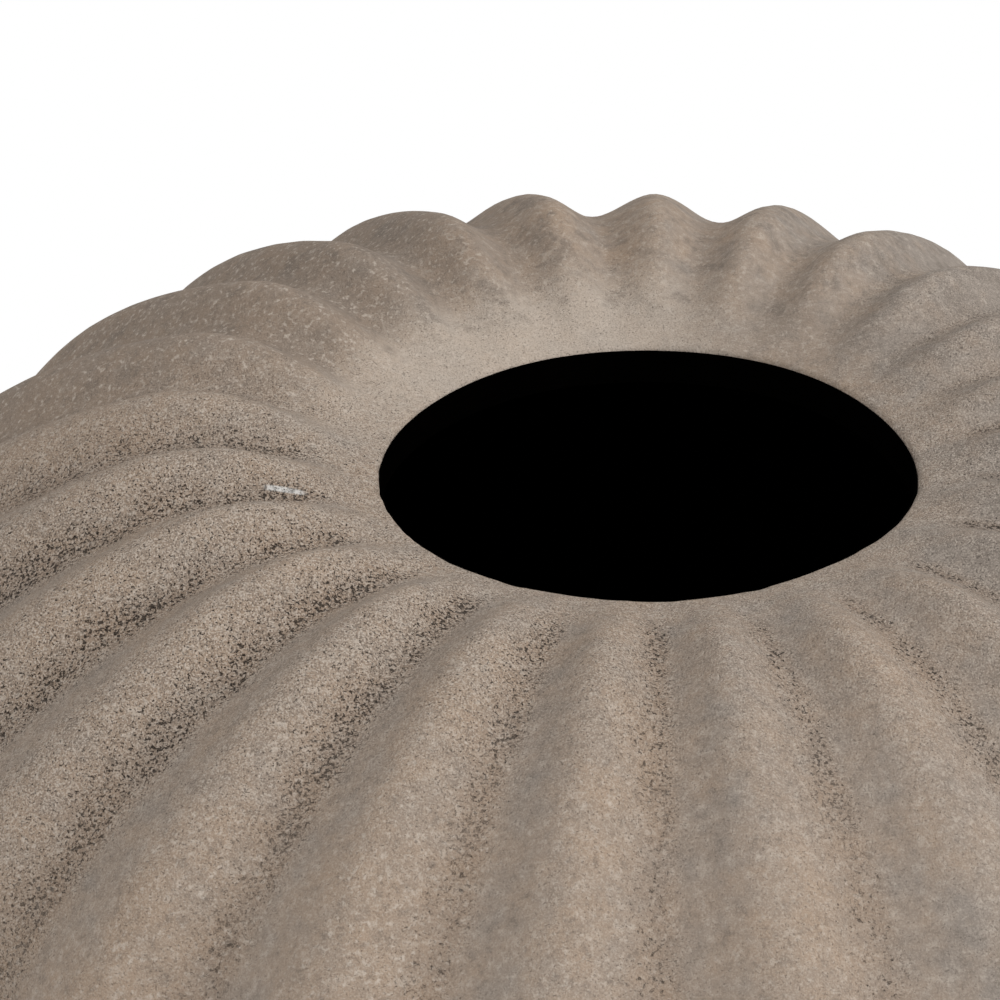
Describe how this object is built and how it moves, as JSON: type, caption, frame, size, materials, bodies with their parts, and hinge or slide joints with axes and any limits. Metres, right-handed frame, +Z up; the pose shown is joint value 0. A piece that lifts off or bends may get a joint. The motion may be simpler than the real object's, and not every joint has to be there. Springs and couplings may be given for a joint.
{
  "type": "urn vase",
  "caption": "Squat ribbed urn vase with a round mouth sunk in a shallow dish, a belly tapering to a foot ring, and a dark coated inside, for stems and dried flowers.",
  "frame": {"origin": "centre of the base, on the surface that the vase stands on", "axes": "+Z up along the axis of the body and mouth; -Y towards the picture's viewpoint, so that the mouth dips to the back left, -X +Y"},
  "size_m": [0.3351, 0.3342, 0.3049],
  "materials": {
    "sandy_clay": "rough unglazed, sandy grey-brown with small dark pits",
    "joint_clay": "smoothed bare clay",
    "dark_coat": "matt black sealing coat",
    "felt": "pressed felt"
  },
  "bodies": {
    "root": {"shoulder_half": "sandy_clay", "belly_half": "sandy_clay", "seam_coil": "joint_clay", "base_slab": "sandy_clay", "foot_ring": "sandy_clay", "inner_coat": "dark_coat", "foot_pad_1": "felt", "foot_pad_2": "felt", "foot_pad_3": "felt", "foot_pad_4": "felt"}
  },
  "joints": []
}
